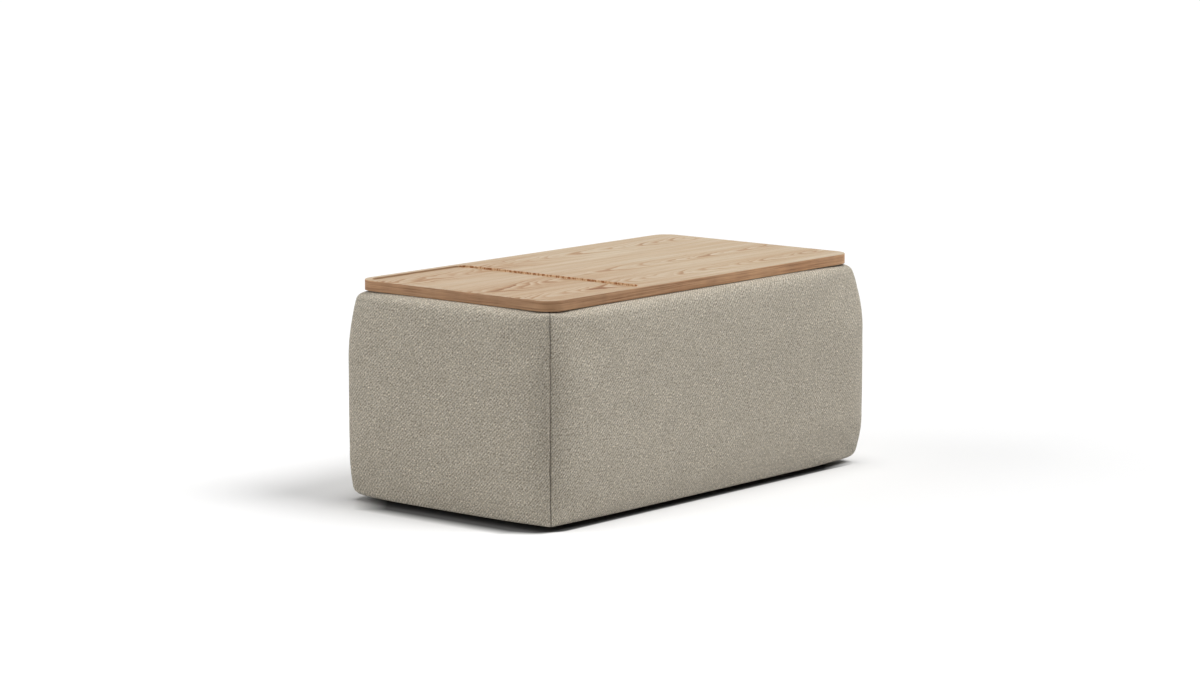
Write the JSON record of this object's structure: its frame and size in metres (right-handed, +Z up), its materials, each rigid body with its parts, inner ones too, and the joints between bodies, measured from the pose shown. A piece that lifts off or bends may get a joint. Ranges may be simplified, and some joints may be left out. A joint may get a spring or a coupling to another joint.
{
  "type": "storage ottoman",
  "caption": "Rectangular upholstered storage ottoman: padded fabric sides round a lined box, under a hinged oak lid with a shallow tray at its left end, held open by sliding stays.",
  "frame": {"origin": "on the floor under the middle of the ottoman", "axes": "+X along the length, away from the tray; +Y to the rear, where the hinges are; +Z up"},
  "size_m": [0.901, 0.496, 0.396],
  "materials": {
    "oak": "light oak, satin oil",
    "batten_wood": "planed, raw",
    "plywood": "raw plywood",
    "upholstery": "heathered greige twill weave",
    "foam": "open-cell foam",
    "lining": "cloth-faced board",
    "dust_cloth": "black non-woven",
    "zinc_steel": "zinc plated",
    "zinc_screw": "zinc plated",
    "rail_aluminium": "natural anodised",
    "nylon": "black nylon",
    "bumper_rubber": "soft matt",
    "black_plastic": "matt black"
  },
  "bodies": {
    "base": {"bottom_panel": "plywood", "carcass_screws": "zinc_screw", "dust_cover": "dust_cloth", "floor_lining": "lining", "front_cover": "upholstery", "front_foam": "foam", "front_lining": "lining", "front_panel": "plywood", "glide_front_left": "black_plastic", "glide_front_right": "black_plastic", "glide_rear_left": "black_plastic", "glide_rear_right": "black_plastic", "glide_screws": "zinc_screw", "hinge_carcass_screws": "zinc_screw", "hinge_left_fixed_leaf": "zinc_steel", "hinge_left_pin": "zinc_steel", "hinge_middle_fixed_leaf": "zinc_steel", "hinge_middle_pin": "zinc_steel", "hinge_right_fixed_leaf": "zinc_steel", "hinge_right_pin": "zinc_steel", "left_cover": "upholstery", "left_end_panel": "plywood", "left_foam": "foam", "left_lining": "lining", "rear_cover": "upholstery", "rear_foam": "foam", "rear_lining": "lining", "rear_panel": "plywood", "right_cover": "upholstery", "right_end_panel": "plywood", "right_foam": "foam", "right_lining": "lining", "stay_rail_left": "rail_aluminium", "stay_rail_right": "rail_aluminium", "stay_rail_screws": "zinc_screw"},
    "lid": {"batten_screws": "zinc_screw", "hinge_left_lid_leaf": "zinc_steel", "hinge_lid_screws": "zinc_screw", "hinge_middle_lid_leaf": "zinc_steel", "hinge_right_lid_leaf": "zinc_steel", "lid_batten_left": "batten_wood", "lid_batten_right": "batten_wood", "lid_board": "oak", "lid_bumpers": "bumper_rubber", "stay_bracket_left": "zinc_steel", "stay_bracket_right": "zinc_steel", "stay_bracket_screws": "zinc_screw", "stay_pin_left": "zinc_steel", "stay_pin_right": "zinc_steel"},
    "stay_arm_left": {"stay_arm_left": "zinc_steel", "stay_slider_left": "nylon"},
    "stay_arm_right": {"stay_arm_right": "zinc_steel", "stay_slider_right": "nylon"}
  },
  "joints": [
    {"name": "lid_hinge", "type": "hinge", "parent": "base", "child": "lid", "pos_m": [0, 0.22855, 0.37575], "axis": [-1, 0, 0], "range_deg": [0, 75]},
    {"name": "stay_left", "type": "hinge", "parent": "lid", "child": "stay_arm_left", "pos_m": [-0.3825, 0.0287, 0.363], "axis": [-1, 0, 0], "range_deg": [-150, 0]},
    {"name": "stay_right", "type": "hinge", "parent": "lid", "child": "stay_arm_right", "pos_m": [0.3825, 0.0287, 0.363], "axis": [-1, 0, 0], "range_deg": [-150, 0]}
  ],
  "couplings": [
    {"joint": "stay_left", "follows": "lid_hinge", "ratio": -2},
    {"joint": "stay_right", "follows": "lid_hinge", "ratio": -2}
  ]
}
